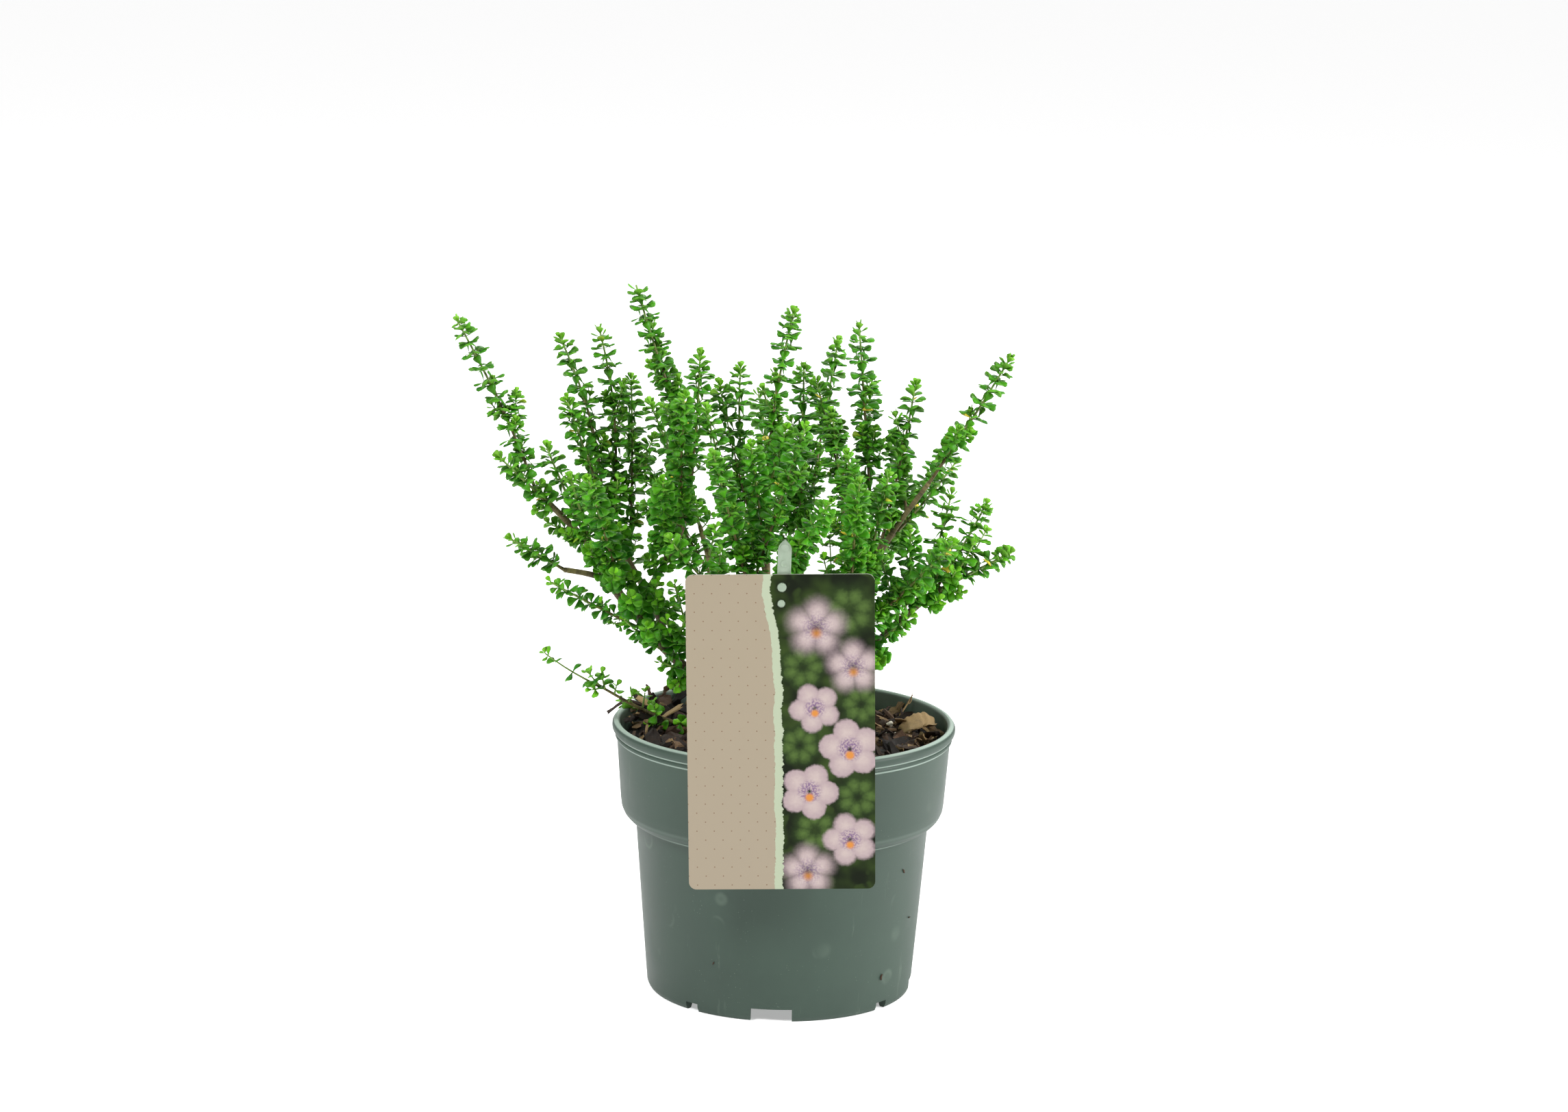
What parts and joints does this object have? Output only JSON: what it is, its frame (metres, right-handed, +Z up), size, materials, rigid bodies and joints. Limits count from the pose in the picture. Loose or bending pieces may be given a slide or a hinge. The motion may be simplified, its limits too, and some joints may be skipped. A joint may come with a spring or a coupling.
{
  "type": "potted mint bush",
  "caption": "Small-leaved mint bush on a forked woody stem, standing in mulched soil in a round plastic nursery pot, with a printed label hung on a stake.",
  "frame": {"origin": "middle of the box round the whole plant, on the surface that the pot stands on; the pot's own axis stands 29.2 mm to the right of it and 9 mm in front", "axes": "+Z up along the pot's axis, +X to the right and -Y to the front, where the label hangs"},
  "size_m": [0.2988, 0.2484, 0.3816],
  "materials": {
    "pot_plastic": "satin blue-grey-green moulded plastic with faint scuffs",
    "soil": "dark damp mulch of fine bark",
    "bark": "rough dark bark",
    "pale_bark": "rough tan bark",
    "stem_wood": "thin grey-brown bark",
    "leaf": "small waxy green leaves",
    "stake_plastic": "pale translucent plastic",
    "label_card": "printed plastic card"
  },
  "bodies": {
    "root": {"bark_chip_back": "bark", "bark_chip_front": "bark", "centre_back_shoot_1": "leaf", "centre_back_shoot_2": "leaf", "centre_back_shoot_3": "leaf", "centre_back_shoot_4": "leaf", "centre_front_shoot_1": "leaf", "centre_front_shoot_2": "leaf", "centre_front_shoot_3": "leaf", "centre_front_shoot_4": "leaf", "centre_front_shoot_5": "leaf", "centre_up_shoot_1": "leaf", "centre_up_shoot_2": "leaf", "centre_up_shoot_3": "leaf", "creeping_shoot_1": "leaf", "dark_bark_strip": "bark", "label": "label_card", "label_stake": "stake_plastic", "left_back_shoot_1": "leaf", "left_back_shoot_2": "leaf", "left_fork_shoot_1": "leaf", "left_fork_shoot_2": "leaf", "left_fork_shoot_3": "leaf", "left_fork_shoot_4": "leaf", "left_fork_shoot_5": "leaf", "left_low_shoot_1": "leaf", "left_main_shoot_1": "leaf", "left_main_shoot_2": "leaf", "left_main_shoot_3": "leaf", "left_main_shoot_4": "leaf", "left_main_shoot_5": "leaf", "left_main_shoot_6": "leaf", "left_main_shoot_7": "leaf", "left_main_shoot_8": "leaf", "left_main_shoot_9": "leaf", "left_mid_shoot_1": "leaf", "left_mid_shoot_2": "leaf", "left_mid_shoot_3": "leaf", "left_mid_shoot_4": "leaf", "pot": "pot_plastic", "right_back_shoot_1": "leaf", "right_back_shoot_2": "leaf", "right_back_shoot_3": "leaf", "right_front_shoot_1": "leaf", "right_front_shoot_2": "leaf", "right_front_shoot_3": "leaf", "right_front_shoot_4": "leaf", "right_front_shoot_5": "leaf", "right_low_shoot_1": "leaf", "right_low_shoot_2": "leaf", "right_low_shoot_3": "leaf", "right_low_shoot_4": "leaf", "right_low_shoot_5": "leaf", "right_up_shoot_1": "leaf", "right_up_shoot_2": "leaf", "right_up_shoot_3": "leaf", "right_up_shoot_4": "leaf", "soil": "soil", "tan_bark_chip": "pale_bark", "trunk_and_limbs": "stem_wood"}
  },
  "joints": []
}
